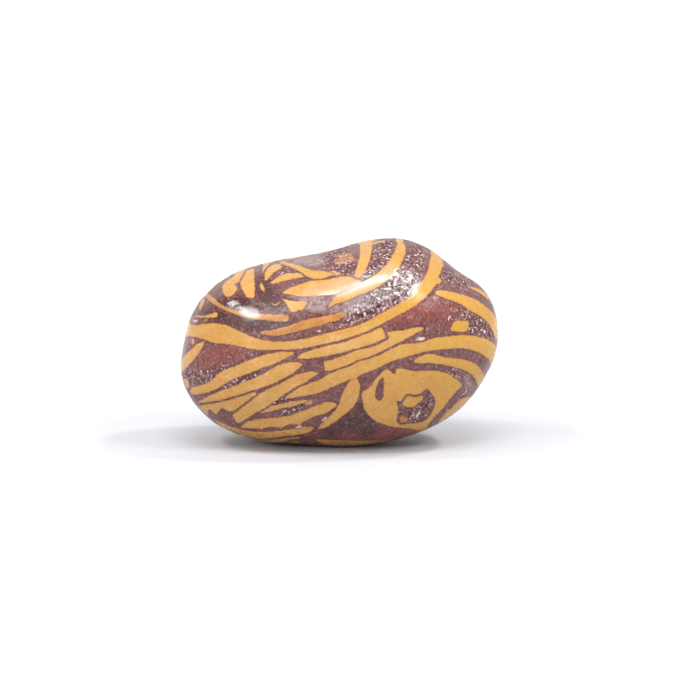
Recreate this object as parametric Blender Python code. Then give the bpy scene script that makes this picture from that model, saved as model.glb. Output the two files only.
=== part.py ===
"""A tumbled pebble of banded jasper: one solid stone that rests on a small flat spot.

The stone lies with its length along X, its depth along Y and its height along Z. The front, with
the raised lobe on the left, faces -Y. The origin is under the middle of the stone, at the rest spot.
All sizes below are in millimetres, and the finished mesh is in metres.
"""

import math

import bmesh
import bpy
from mathutils import Vector, noise

MILLIMETRE = 0.001

# Overall sizes of the stone
LENGTH = 30.0
FRONT_DEPTH = 8.9
BACK_DEPTH = 8.6
CORE_HEIGHT = 9.6

# The front outline, counter-clockwise from +X about the core: degrees, then distance from the core
OUTLINE = (
    (0, 15.0),
    (20, 14.95),
    (32, 13.15),
    (46, 12.55),
    (60, 11.75),
    (75, 10.3),
    (90, 9.15),
    (105, 8.85),
    (120, 9.4),
    (135, 10.65),
    (150, 12.55),
    (168, 14.35),
    (178, 14.4),
    (190, 15.25),
    (210, 13.95),
    (228, 11.88),
    (248, 10.05),
    (270, 9.45),
    (292, 9.9),
    (312, 11.0),
    (332, 12.8),
    (346, 13.85),
)

# How full the sections are: 2 is an ellipse, more is squarer
FRONT_FULLNESS = 2.15
BACK_FULLNESS = 2.3

# The upper rim lies behind the middle, so that the top slopes up and away from the front shoulder
TOP_LEAN = 1.6

# The fullest part of the front and of the back, above the core
FRONT_RISE = 1.9
BACK_RISE = 0.4

# Soft swells (+) and hollows (-) worn into the stone: start, end, reach, height
SCULPTING = {
    "left lobe": ((-11.6, -4.4, 14.4), (-10.2, -5.2, 15.1), 1.7, 0.55),
    "shoulder of the lobe": ((-9.0, -6.8, 13.0), (-5.4, -8.0, 12.8), 1.5, 0.28),
    "dimple beside the lobe": ((-6.8, -7.0, 14.9), (-6.4, -4.6, 16.6), 2.0, -0.75),
    "front shoulder": ((-2.4, -7.2, 15.3), (5.2, -6.4, 16.9), 2.2, 0.42),
    "high right shoulder": ((5.4, -4.5, 17.6), (8.6, -5.0, 15.8), 2.8, 0.35),
    "waist under the lobe": ((-11.0, -6.8, 11.2), (-5.6, -8.6, 11.0), 1.4, -0.16),
    "hollow in the back": ((-3.0, 9.0, 12.5), (3.5, 9.2, 10.5), 3.6, -0.6),
    "knuckle on the back": ((-9.0, 6.0, 8.0), (-7.0, 6.5, 6.5), 3.2, 0.45),
}

# Worn flats: a point on the plane, the way it faces, and how softly it blends into the round
FLATS = {
    "upper right facet": ((12.2, -2.0, 15.2), (0.62, -0.30, 0.72), 0.9),
    "back shoulder facet": ((2.0, 6.6, 15.6), (0.12, 0.72, 0.68), 1.1),
    "lower left facet": ((-11.8, 2.0, 2.6), (-0.62, 0.10, -0.78), 0.9),
}

# Unevenness left by the tumbling
LUMP_SIZE = 8.5
LUMP_HEIGHT = 0.28
LUMP_SEED_OFFSET = (31.0, 7.0, 12.0)

# How fine the solid is, and how far its surface is evened out
ICOSPHERE_LEVEL = 5
SMOOTHING_PASSES = 4
SMOOTHING_STRENGTH = 0.5

# The rest spot: how much of the underside is worn away, and how exact the cut is
REST_TRIM = 0.26
CUT_TOLERANCE = 0.0001

# Iron-red jasper, polished to a soft gloss
STONE_COLOUR = (0.30, 0.115, 0.10, 1.0)
STONE_ROUGHNESS = 0.28
STONE_METALLIC = 0.0


def clear_scene():
    """Takes away whatever the scene holds, so that only the stone is left."""
    for item in list(bpy.data.objects):
        bpy.data.objects.remove(item, do_unlink=True)


def outline_radius(degrees):
    """Distance from the core to the front outline, on a smooth closed curve through OUTLINE."""
    count = len(OUTLINE)
    turned = degrees % 360
    first = max(index for index in range(count) if OUTLINE[index][0] <= turned)

    def knot(index):
        angle, radius = OUTLINE[index % count]
        return angle + 360 * (index // count), radius

    (before, r_before), (start, r_start) = knot(first - 1), knot(first)
    (end, r_end), (after, r_after) = knot(first + 1), knot(first + 2)
    slope_start = (r_end - r_before) / (end - before)
    slope_end = (r_after - r_start) / (after - start)
    span = end - start
    t = (turned - start) / span
    return (
        r_start * (2 * t**3 - 3 * t**2 + 1)
        + slope_start * span * (t**3 - 2 * t**2 + t)
        + r_end * (3 * t**2 - 2 * t**3)
        + slope_end * span * (t**3 - t**2)
    )


def pebble_point(direction):
    """The point of the plain pebble that lies in this direction from its core."""
    across, inward, upward = direction
    angle = math.degrees(math.atan2(upward, across))
    fullness = FRONT_FULLNESS if inward < 0 else BACK_FULLNESS
    depth = FRONT_DEPTH if inward < 0 else BACK_DEPTH
    rim = math.hypot(across, upward) ** (2 / fullness)
    bulge = abs(inward) ** (2 / fullness)
    reach = outline_radius(angle) * rim
    lean = TOP_LEAN * max(0.0, math.sin(math.radians(angle))) * rim
    lift = (FRONT_RISE if inward < 0 else BACK_RISE) * inward**2
    return Vector((
        reach * math.cos(math.radians(angle)),
        math.copysign(depth * bulge, inward) + lean,
        CORE_HEIGHT + lift + reach * math.sin(math.radians(angle)),
    ))


def distance_to_stroke(point, start, end):
    """How far a point is from the line between a stroke's two ends."""
    run = end - start
    along = max(0.0, min(1.0, (point - start).dot(run) / run.length_squared))
    return (point - start - run * along).length


def sculpt(point, core):
    """Swells and hollows, each fading out with distance from its own stroke."""
    outward = (point - core).normalized()
    push = 0.0
    for start, end, reach, height in SCULPTING.values():
        distance = distance_to_stroke(point, Vector(start), Vector(end))
        push += height * math.exp(-((distance / reach) ** 2))
    lump = noise.noise(point / LUMP_SIZE + Vector(LUMP_SEED_OFFSET))
    return point + outward * (push + LUMP_HEIGHT * lump)


def wear_flat(point):
    """What stands beyond a worn flat is pulled back towards it."""
    for origin, facing, softness in FLATS.values():
        normal = Vector(facing).normalized()
        proud = (point - Vector(origin)).dot(normal)
        if proud > 0:
            point = point - normal * (proud - proud * softness / (proud + softness))
    return point


def shape_stone(mesh_data):
    """A round ball is drawn out into the pebble, worn, evened out, cut to rest and sized."""
    shape = bmesh.new()
    bmesh.ops.create_icosphere(shape, subdivisions=ICOSPHERE_LEVEL, radius=1.0)
    core = Vector((0.0, 0.0, CORE_HEIGHT))
    for vertex in shape.verts:
        vertex.co = wear_flat(sculpt(pebble_point(vertex.co.normalized()), core))
    for _ in range(SMOOTHING_PASSES):
        bmesh.ops.smooth_vert(
            shape,
            verts=shape.verts,
            factor=SMOOTHING_STRENGTH,
            use_axis_x=True,
            use_axis_y=True,
            use_axis_z=True,
        )
    cut_rest_spot(shape)
    centre_and_size(shape)
    shape.to_mesh(mesh_data)
    shape.free()


def cut_rest_spot(shape):
    """A small level flat under the stone, cut straight through and closed."""
    lowest = min(vertex.co.z for vertex in shape.verts)
    level = Vector((0.0, 0.0, lowest + REST_TRIM))
    cut = bmesh.ops.bisect_plane(
        shape,
        geom=shape.verts[:] + shape.edges[:] + shape.faces[:],
        dist=CUT_TOLERANCE,
        plane_co=level,
        plane_no=Vector((0.0, 0.0, -1.0)),
        clear_outer=True,
    )
    rim = [item for item in cut["geom_cut"] if isinstance(item, bmesh.types.BMEdge)]
    spot = bmesh.ops.contextual_create(shape, geom=rim)["faces"]
    bmesh.ops.triangulate(shape, faces=spot)
    bmesh.ops.recalc_face_normals(shape, faces=shape.faces)


def centre_and_size(shape):
    """Puts the origin under the middle of the stone and makes its length exact, in metres."""
    low = Vector(min(vertex.co[axis] for vertex in shape.verts) for axis in range(3))
    high = Vector(max(vertex.co[axis] for vertex in shape.verts) for axis in range(3))
    foot = Vector(((low.x + high.x) / 2, (low.y + high.y) / 2, low.z))
    scale = LENGTH / (high.x - low.x) * MILLIMETRE
    bmesh.ops.translate(shape, verts=shape.verts, vec=-foot)
    bmesh.ops.scale(shape, verts=shape.verts, vec=(scale, scale, scale))


def stone_material():
    """Polished red jasper, as one plain colour."""
    material = bpy.data.materials.new("jasper")
    material.use_nodes = True
    surface = material.node_tree.nodes["Principled BSDF"]
    surface.inputs["Base Color"].default_value = STONE_COLOUR
    surface.inputs["Roughness"].default_value = STONE_ROUGHNESS
    surface.inputs["Metallic"].default_value = STONE_METALLIC
    return material


def make_stone():
    """The stone as one named object at the origin."""
    mesh_data = bpy.data.meshes.new("jasper")
    shape_stone(mesh_data)
    mesh_data.shade_smooth()
    mesh_data.materials.append(stone_material())
    stone = bpy.data.objects.new("jasper", mesh_data)
    bpy.context.scene.collection.objects.link(stone)
    return stone


clear_scene()
make_stone()
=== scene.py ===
# %% [markdown]
# # A tumbled pebble of banded jasper
# The real thing is one stone: brick-red to maroon jasper, crossed by golden-yellow blades, tumbled
# until it is round and polished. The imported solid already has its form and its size. This lesson
# gives it its skin: a fine mesh over that form, the bands drawn on it in their places, and one
# stone material.

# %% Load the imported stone
import math
import random

import bmesh
import bpy
import numpy as np
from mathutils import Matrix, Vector, noise
from mathutils.bvhtree import BVHTree


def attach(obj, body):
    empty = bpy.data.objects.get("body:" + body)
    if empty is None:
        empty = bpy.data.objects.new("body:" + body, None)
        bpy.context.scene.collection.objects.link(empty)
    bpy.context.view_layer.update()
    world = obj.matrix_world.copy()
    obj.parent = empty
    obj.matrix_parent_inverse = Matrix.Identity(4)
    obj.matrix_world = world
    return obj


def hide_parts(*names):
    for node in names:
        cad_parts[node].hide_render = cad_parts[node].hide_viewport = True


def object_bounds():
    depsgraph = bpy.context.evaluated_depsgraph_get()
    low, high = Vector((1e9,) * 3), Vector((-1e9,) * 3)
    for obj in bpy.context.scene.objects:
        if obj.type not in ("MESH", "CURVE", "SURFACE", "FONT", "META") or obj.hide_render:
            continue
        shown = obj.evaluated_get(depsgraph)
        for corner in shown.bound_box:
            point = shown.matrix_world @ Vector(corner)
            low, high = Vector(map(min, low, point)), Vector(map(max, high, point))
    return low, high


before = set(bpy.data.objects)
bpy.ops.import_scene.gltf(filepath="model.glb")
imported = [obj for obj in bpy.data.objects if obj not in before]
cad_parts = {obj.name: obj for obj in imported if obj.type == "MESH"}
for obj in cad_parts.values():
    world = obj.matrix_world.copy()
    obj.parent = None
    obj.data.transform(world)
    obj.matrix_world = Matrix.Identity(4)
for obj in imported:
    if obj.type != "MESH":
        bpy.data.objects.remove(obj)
cad_low, cad_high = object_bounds()

MM = 0.001
cad_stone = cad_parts["jasper"]
print("the packed stone, in mm:", [round(side / MM, 2) for side in cad_high - cad_low])

# %% [markdown]
# ## The camera
# The photo was taken with a long lens from a little above the stone. A long lens far away keeps the
# stone's outline nearly free of perspective. The distance follows from the scale of the photo, so
# the camera and every line that is drawn through it later share the same few numbers.

# %% Place the camera
PHOTO_SIDE = 675
PHOTO_PIXELS_PER_MM = 10.583
LENS = 150.0
SENSOR = 36.0
CAMERA_LIFT = math.radians(9.5)
CAMERA_AIM = Vector((-0.165, 0.0, 10.19)) * MM
NEAR_CLIP_SHARE = 1 / 20

scene = bpy.context.scene
camera_distance = PHOTO_SIDE * LENS / SENSOR / PHOTO_PIXELS_PER_MM * MM
looking = Vector((0.0, math.cos(CAMERA_LIFT), -math.sin(CAMERA_LIFT)))
upward = Vector((0.0, math.sin(CAMERA_LIFT), math.cos(CAMERA_LIFT)))
rightward = Vector((1.0, 0.0, 0.0))
eye = CAMERA_AIM - looking * camera_distance

camera_data = bpy.data.cameras.new("camera")
camera_data.lens = LENS
camera_data.sensor_width = SENSOR
camera_data.clip_start = camera_distance * NEAR_CLIP_SHARE
camera = bpy.data.objects.new("camera", camera_data)
camera.location = eye
camera.rotation_euler = looking.to_track_quat("-Z", "Y").to_euler()
scene.collection.objects.link(camera)
scene.camera = camera
print("camera distance, in mm:", round(camera_distance / MM, 1))

# %% [markdown]
# ## A fine skin over the form
# A tumbled stone is smooth to the touch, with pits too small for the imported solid. The skin starts
# as a copy of that solid. The copy's loose triangles are merged, its long base triangles are split
# to the size of the others, and every edge is then cut several times. Smoothing afterwards takes
# out the old facets and rounds the rim of the rest spot, as wear does. It also draws the form in by
# a hair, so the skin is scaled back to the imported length. Growing a new ball would work too, but it
# would have to be fitted.

# %% Copy, merge and subdivide
MERGE_DISTANCE = 0.0005 * MM
LONGEST_BASE_EDGE = 1.3 * MM
CUTS_PER_EDGE = 5
SMOOTHING_PASSES = 40
SMOOTHING_STRENGTH = 0.5

shape = bmesh.new()
shape.from_mesh(cad_stone.data)
bmesh.ops.remove_doubles(shape, verts=shape.verts, dist=MERGE_DISTANCE)
while True:
    long_edges = [edge for edge in shape.edges if edge.calc_length() > LONGEST_BASE_EDGE]
    if not long_edges:
        break
    bmesh.ops.subdivide_edges(shape, edges=long_edges, cuts=1)
    bmesh.ops.triangulate(shape, faces=[face for face in shape.faces if len(face.verts) > 3])
bmesh.ops.subdivide_edges(shape, edges=shape.edges, cuts=CUTS_PER_EDGE, use_grid_fill=True)
bmesh.ops.triangulate(shape, faces=[face for face in shape.faces if len(face.verts) > 3])
for _ in range(SMOOTHING_PASSES):
    bmesh.ops.smooth_vert(
        shape,
        verts=shape.verts,
        factor=SMOOTHING_STRENGTH,
        use_axis_x=True,
        use_axis_y=True,
        use_axis_z=True,
    )
across = [vertex.co.x for vertex in shape.verts]
regain = (cad_high.x - cad_low.x) / (max(across) - min(across))
bmesh.ops.scale(shape, verts=shape.verts, vec=(regain, regain, regain))
for vertex in shape.verts:
    vertex.co.z = max(vertex.co.z, 0.0)
shape.normal_update()
shape.verts.ensure_lookup_table()
surface = BVHTree.FromBMesh(shape)
print("skin:", len(shape.verts), "points,", len(shape.faces), "triangles")
print("scaled by", round(regain, 4))

# %% [markdown]
# ## Drawing on the stone through the camera
# The bands are colour alone, flush with the polished face, so they are drawn and not raised. Each
# is a stroke in pixels of the photo: a line of places with half a width at each. A ray from the
# camera through both edges of the stroke finds where they land on the skin, and so gives its true
# middle and width there. An image texture would be quicker, but strokes stay sharp at any size and
# can run on round the back.

# %% Rays, smooth lines and strokes
SAMPLES_PER_SPAN = 5
STEEPEST_WIDENING = 1.6
THINNEST_HALF = 0.3


def land(x, y):
    """Where the ray through a pixel of the photo meets the stone, or None."""
    across = (x - PHOTO_SIDE / 2) / PHOTO_SIDE * SENSOR / LENS
    above = (PHOTO_SIDE / 2 - y) / PHOTO_SIDE * SENSOR / LENS
    ray = (looking + rightward * across + upward * above).normalized()
    return surface.ray_cast(eye, ray)[0]


def smooth_line(points, samples=SAMPLES_PER_SPAN):
    """A smooth line through a list of points of any dimension, as an array."""
    knots = np.array(points, float)
    padded = np.vstack([2 * knots[0] - knots[1], knots, 2 * knots[-1] - knots[-2]])
    line = []
    for index in range(1, len(padded) - 2):
        before, start, end, after = padded[index - 1 : index + 3]
        slope = end - before
        bend = 2 * before - 5 * start + 4 * end - after
        twist = 3 * start - before - 3 * end + after
        for t in np.arange(samples) / samples:
            line.append(0.5 * (2 * start + slope * t + bend * t**2 + twist * t**3))
    line.append(knots[-1])
    return np.array(line)


def lay_stroke(points):
    """The middles and half widths, in metres, of a stroke drawn in pixels."""
    line = smooth_line(points)
    heading = np.gradient(line[:, :2], axis=0)
    heading /= np.linalg.norm(heading, axis=1)[:, None]
    laid = []
    for (x, y, half), (along_x, along_y) in zip(line, heading):
        half = max(half, THINNEST_HALF)
        middle = land(x, y)
        one = land(x - along_y * half, y + along_x * half)
        other = land(x + along_y * half, y - along_x * half)
        plain = half / PHOTO_PIXELS_PER_MM * MM
        if one and other:
            widened = min((one - other).length / 2, plain * STEEPEST_WIDENING)
            laid.append((*(one + other) / 2, widened))
        elif middle:
            laid.append((*middle, plain))
    return np.array(laid)


photo_middle = land(PHOTO_SIDE / 2, PHOTO_SIDE / 2)
print("the photo's middle lands, in mm, at", [round(side / MM, 1) for side in photo_middle])

# %% [markdown]
# ## The golden blades of the front
# These are the bands that the photo shows, one by one, each with a plain name for its place or its
# shape. Neighbours that nearly touch are on different layers. A later layer always keeps a hair's
# breadth away from an earlier one, which leaves the fine dark seams between the blades of the real
# stone.

# %% Strokes: layer, warmth of colour, then (x, y, half width) in pixels of the photo
BLADES = {
    "long sweep": (1, 0.15, (
        (184, 329.5, 7), (195, 331, 6.3), (205, 331.5, 8), (215, 333, 10), (225, 334.8, 9.5),
        (235, 337.5, 8), (245, 341, 6.8), (255, 343.7, 6), (265, 345.2, 5), (280, 345.7, 4.4),
        (295, 345, 4.6), (310, 342.3, 5), (325, 338.8, 5.2), (340, 335, 5.3), (355, 330.8, 4.8),
        (368, 326, 4.9), (380, 319.5, 5), (392, 313, 5.2), (404, 306.7, 5.3), (414, 300, 5.5),
        (422, 292.5, 6.2), (429, 283, 7), (433.5, 273, 6.5), (436, 264, 7), (436.5, 257, 6),
        (435.5, 253, 5))),
    "upper chip on the long sweep": (1, 0.1, ((437, 262.5, 4), (441.3, 265.2, 2.9))),
    "lower chip on the long sweep": (1, 0.1, ((434, 280, 4), (438.3, 281, 3.3))),
    "second sweep": (1, 0.0, (
        (284, 398, 0.5), (292, 395.3, 3), (302, 391.5, 5), (312, 388.7, 6), (322, 385.3, 6.2),
        (332, 380, 6.8), (342, 375.8, 6.8), (352, 372.3, 6.8), (362, 367.5, 6.8), (372, 364, 6.3),
        (382, 359.8, 5.8), (392, 355, 6), (402, 351.3, 7), (412, 349.5, 6), (422, 347.3, 5.2),
        (432, 344.8, 6), (442, 343.2, 6.5), (452, 342.2, 6.6), (462, 341.8, 6.8), (472, 342.8, 7.3),
        (482, 345.5, 8), (489, 350, 8), (493, 357, 5), (492.5, 364, 3))),
    "upper middle blade": (2, 0.1, (
        (297, 358.5, 0.8), (303, 356, 3), (312, 354, 4.3), (322, 352, 5), (332, 349.8, 5.3),
        (342, 347.8, 5.2), (352, 344.3, 5.3), (362, 341.3, 6), (371, 337.5, 6.8), (378, 334.6, 6.6),
        (384.5, 332.6, 5.4))),
    "lower middle blade": (3, 0.15, (
        (324, 366.6, 5), (331, 365.3, 5.6), (341, 362.4, 5.8), (352, 358, 5.7), (361, 354.6, 5.8),
        (372.5, 351, 4.5), (381, 347.3, 4.2), (388, 344, 4.2), (394, 341.5, 3.6))),
    "middle tip": (3, 0.05, (
        (389, 339.4, 7.8), (397.5, 336.7, 6.3), (405, 334.3, 4.7), (411, 332, 3.7),
        (417.5, 329.6, 2.6), (423.5, 328.2, 1.2))),
    "upper fan blade": (2, 0.25, (
        (194, 391, 4), (203, 389, 4.5), (212, 386, 5), (219, 381, 6), (227, 375.5, 6.3),
        (237, 371.5, 6), (247, 367.5, 6.5), (257, 363.5, 6.3), (267, 360.3, 6.3), (277, 357.2, 5.2),
        (286, 354.3, 3.8), (293, 353, 1.5))),
    "middle fan blade": (1, 0.2, (
        (197, 403.3, 0.7), (206, 400, 2.6), (216, 397, 4.3), (227, 393.5, 4.8), (238, 390, 5),
        (249, 386, 5.8), (260, 381.8, 6.3), (270, 377.5, 7), (280, 372.5, 7.3), (289, 368.5, 6.5),
        (297, 365.5, 3.5), (302, 364.5, 1))),
    "lower fan blade": (2, 0.2, (
        (234.5, 419.7, 5.5), (244, 413.5, 6.3), (254, 406.5, 6.8), (264, 400, 7.5), (273, 394.3, 7),
        (283, 388.5, 6), (293, 382.8, 6), (303, 378, 5), (311, 374.8, 3.5), (319, 373, 1))),
    "small leaf": (3, 0.2, (
        (257, 413, 0.8), (265, 410.5, 2.2), (274, 407.8, 2.8), (283, 405.8, 2.6), (292, 404, 2.8),
        (300, 402.3, 2.2), (307, 400.8, 0.8))),
    "saw blade": (1, 0.2, (
        (242, 427, 1.5), (250, 424.5, 4), (260, 423.8, 5), (270, 422.5, 4.6), (280, 422, 5.3),
        (290, 420, 4.5), (298, 418.5, 5.8), (306, 415, 5.3), (314, 411.5, 5), (322, 409, 5.5),
        (330, 406, 4.3), (336, 405, 1.2))),
    "first tooth of the saw": (1, 0.3, ((262, 425, 3), (262.5, 428.5, 1.6))),
    "second tooth of the saw": (1, 0.3, ((280, 424, 3), (281, 427.6, 1.5))),
    "third tooth of the saw": (1, 0.3, ((299, 421, 3.5), (300, 424.5, 1.6))),
    "lower rim blade": (2, 0.3, (
        (215.5, 420.5, 1), (221, 424.5, 2.2), (228, 428, 2.8), (238, 431.5, 3.2), (248, 434, 3.5),
        (258, 435.2, 3.7), (268, 435, 3.8), (278, 434, 3.5), (288, 432.8, 3.3), (298, 431.5, 3.6),
        (306, 430, 3.5), (312, 428.5, 1.5))),
    "curved leaf": (1, 0.2, (
        (319, 429, 1), (325, 424.5, 3.3), (332, 419, 4), (339, 413, 5), (345, 406, 6.5),
        (349, 399, 8.3), (352, 391.5, 8), (354, 385, 6), (357, 380, 1.5))),
    "right middle leaf": (1, 0.3, (
        (415, 361.5, 1.5), (421, 359.8, 3.8), (430, 358.5, 5), (440, 360, 4.2), (450, 362, 4),
        (460, 363.8, 5), (468, 366, 5.5), (475, 370.5, 5.5), (479.5, 377, 5), (481.5, 384, 4))),
    "bottom right rim": (1, 0.35, (
        (469, 398, 1.5), (463, 403, 4.5), (456, 409.5, 4.5), (449, 415, 4), (443, 420, 3),
        (438, 424, 1))),
    # The bottom rim and the smear beside it are warm, which turns their gold darker and rust-red:
    # painted shade on the underside
    "bottom rim": (1, 0.7, (
        (316, 440, 0.8), (326, 442, 2.8), (340, 443.3, 3.4), (355, 443.6, 3.2), (370, 443, 2.6),
        (383, 441.5, 1.4), (390, 440.8, 0.6))),
    "bottom left smear": (1, 0.9, ((289, 442, 1), (300, 442, 1))),
    "right upper arc": (1, 0.05, (
        (438, 292.5, 2.5), (446, 294.5, 4), (455, 297, 4.6), (464, 300.3, 5.5), (473, 305, 6.3),
        (481, 309.8, 6), (488, 315.5, 5.5), (493, 322.5, 4.5), (496, 331, 3.5), (497, 338, 2))),
    "right top sliver": (1, 0.1, (
        (471, 287.5, 1.2), (477, 289.8, 1.8), (483, 293.3, 2), (488, 298, 1.8))),
    "upper ridge blade": (1, 0.1, (
        (283, 293, 0.8), (292, 291, 4), (301, 290.3, 6.2), (311, 288.5, 7.8), (321, 287.6, 7.9),
        (331, 286.8, 8), (340, 284, 7.5), (348, 282, 6), (355, 282.5, 3.5), (360, 281.5, 1.5))),
    "lower ridge blade": (2, 0.1, (
        (328, 308.5, 0.8), (334, 302, 2.8), (342, 297.3, 5), (351, 294, 4.8), (360, 289.5, 5.3),
        (370, 284.5, 6.2), (379, 279, 6.2), (387, 272, 6), (394, 264, 6), (398.5, 256, 6),
        (401, 248.5, 5), (399.5, 242, 2.5))),
    "upright blade": (3, 0.1, (
        (356, 278, 2.8), (359.5, 272, 4.3), (363, 264, 5.3), (365.3, 255, 5.8), (366, 247, 6.3),
        (366.5, 242.5, 6))),
    "hook beside the upright": (3, 0.2, (
        (369, 244.5, 2), (374, 243.2, 1.3), (379, 241.8, 1.1), (384, 241, 1.2))),
    "top strip": (1, 0.25, (
        (281, 262.5, 1.3), (289, 264.5, 2), (297, 267.3, 2.6), (304, 270.5, 3.4), (311, 274, 4.4),
        (319, 274.7, 4.4), (326, 274.3, 3.4), (332, 274.5, 1.2))),
    "tail of the top leaf": (2, 0.2, ((261, 283, 1), (262, 287, 2.2), (263.5, 291, 1.2))),
    "second top leaf": (2, 0.1, (
        (271.5, 283, 1.2), (278, 279.8, 3), (286, 277, 3.6), (295, 275.6, 3), (302, 275.3, 2.2),
        (306, 276.5, 0.8))),
    "zigzag in the dimple": (1, 0.2, ((272, 303, 0.9), (275.5, 305, 0.9), (279.5, 302.5, 0.9))),
    "blade under the lobe": (1, 0.75, (
        (261.5, 333, 1.5), (269, 332.8, 2.8), (278, 332, 3.6), (288, 329.8, 3.8), (298, 326.8, 4.5),
        (308, 324, 4.7), (318, 321.7, 4.6), (328, 319.3, 4), (337, 316.8, 3.8), (345, 314, 1.5))),
    "blade along the lobe": (1, 0.8, (
        (207, 295.5, 2.4), (213, 300.5, 2.8), (220, 305.8, 1.9), (228, 309.7, 1.7),
        (236, 312.3, 2.1), (245, 314.8, 2.6), (255, 316.3, 3), (265, 317.2, 3.2), (275, 318, 3.4),
        (285, 318.3, 3.4), (289, 318, 3))),
    "left rim sliver": (2, 0.4, ((205, 298, 1.5), (202, 303, 2), (200, 309, 1.5))),
    "small leaf on the left": (1, 0.3, (
        (195, 316.2, 1), (203, 316.7, 1.3), (210, 316, 2.2), (215.5, 314.7, 3))),
    "crumb on the left": (1, 0.3, ((203, 322, 0.8), (207, 320, 0.8))),
    "left edge leaf": (1, 0.15, (
        (204, 342, 1), (199, 346.5, 3.5), (194, 352.5, 4.5), (188, 359, 5), (184, 365, 4),
        (182.5, 370, 1.5))),
    "pale oval on the left": (1, 0.1, ((193, 340, 1.5), (193, 343, 1.5))),
}

front_strokes = {name: lay_stroke(points) for name, (_, _, points) in BLADES.items()}
print(len(front_strokes), "strokes on the front")

# %% [markdown]
# Some bands are patches and not strokes: the lobe's two bright tops, the wedge of the fan, and the
# large eye with its slit, its hollow and its own golden iris. Each is an outline in the same
# pixels. Many short strokes could fill a patch too, but an outline gives its corners and its
# notches in fewer points.

# %% Patches: layer, warmth of colour, then the outline in pixels of the photo
PATCHES = {
    "fan wedge": (3, 0.2, (
        (199, 406), (210, 403.5), (222, 400.8), (234, 398), (245, 394.8), (254, 391.5), (257, 394),
        (254, 398.5), (247, 402.5), (240, 407.5), (233, 411.5), (227, 411), (222, 408), (218, 413),
        (215, 414.5), (211, 410.5), (208, 411), (209, 416.5), (204, 412.5))),
    "eye": (2, 0.15, (
        (362, 392), (368, 388), (372, 384), (374, 380), (378, 376), (384, 370), (388, 369.5),
        (391, 371), (393, 374), (396, 372), (395, 369), (398, 368), (404, 368.5), (414, 371),
        (426, 370.5), (432, 370), (440, 371.5), (447, 373), (456, 378.5), (463, 385.5), (461, 388),
        (457, 391.5), (453, 396), (446, 405), (443, 409), (438, 414), (430, 422.5), (427, 427),
        (424, 430), (420, 431), (412, 429), (400, 428), (388, 426), (376, 421.5), (371, 418),
        (367, 413.5), (364, 408), (362.5, 402), (361.5, 396))),
    "iris": (3, 0.25, (
        (403.5, 400.5), (405, 397.8), (409, 395.8), (415, 396.6), (419, 395.8), (422, 394.8),
        (423.3, 398), (422, 401), (418, 403.5), (415, 406.5), (410, 407.5), (405, 406.5),
        (402, 404.5))),
    "rusty corner of the eye": (3, 1.0, (
        (400, 416), (404, 416.5), (408, 418.5), (407, 421.5), (402, 423.5), (399.5, 420))),
    "square chip": (1, 0.1, (
        (454, 321), (467, 320.5), (469, 322.5), (467, 331.5), (451, 331), (450, 329), (452, 326))),
    "top leaf": (1, 0.2, (
        (265, 272), (268, 268), (272, 264.5), (278, 263.5), (282, 265.5), (281, 268), (278, 270.5),
        (274, 272.5), (271, 276), (268, 279), (265, 281), (264, 278))),
    "patch by the dimple": (2, 0.1, (
        (281, 298.5), (286, 299), (292, 300.5), (300, 301), (308, 301.5), (305, 307), (302, 310),
        (298, 310.5), (296, 312), (291, 312), (288.5, 308), (286, 303.5), (283, 300.5))),
    "left top of the lobe": (1, 0.1, (
        (226, 281), (232, 277), (236, 275), (235, 279), (235, 284), (238, 288), (236, 292),
        (232, 296), (227, 297), (223, 293), (222, 287))),
    "right top of the lobe": (2, 0.15, (
        (240, 272), (247, 270), (254, 268.5), (254.5, 276), (254.8, 286), (255, 295), (254.3, 298),
        (250, 298.5), (246, 296.5), (242.3, 290), (240, 284), (240, 278))),
    "left edge patch": (2, 0.2, (
        (183.5, 379), (188, 379), (189, 383), (189, 388), (186.5, 388), (184.5, 384))),
}
CUTOUTS = {
    "slit in the eye": ("eye", (
        (383, 377), (384, 380), (383, 382), (384.4, 383.4), (382.8, 385.5), (384.2, 387),
        (382.6, 389.3), (383.8, 391), (382.4, 393), (383.4, 395), (381.5, 399), (379, 401),
        (376.5, 398.5), (375.5, 394), (376.5, 389), (378, 384), (380, 380))),
    "hollow in the eye": ("eye", (
        (398, 401), (401, 400.5), (403, 399), (405, 396), (408, 394), (413, 394.5), (417, 395),
        (421, 393.5), (424, 391), (426, 389.5), (429, 390.5), (432, 395), (435, 400), (434.5, 405),
        (433, 410), (430, 415), (427, 419), (424, 421), (420, 422.5), (414, 423), (405, 424),
        (400, 424), (397, 421.5), (397.5, 417), (398.5, 411), (398, 405))),
}

print(len(PATCHES), "patches with", len(CUTOUTS), "cut-outs")
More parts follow.
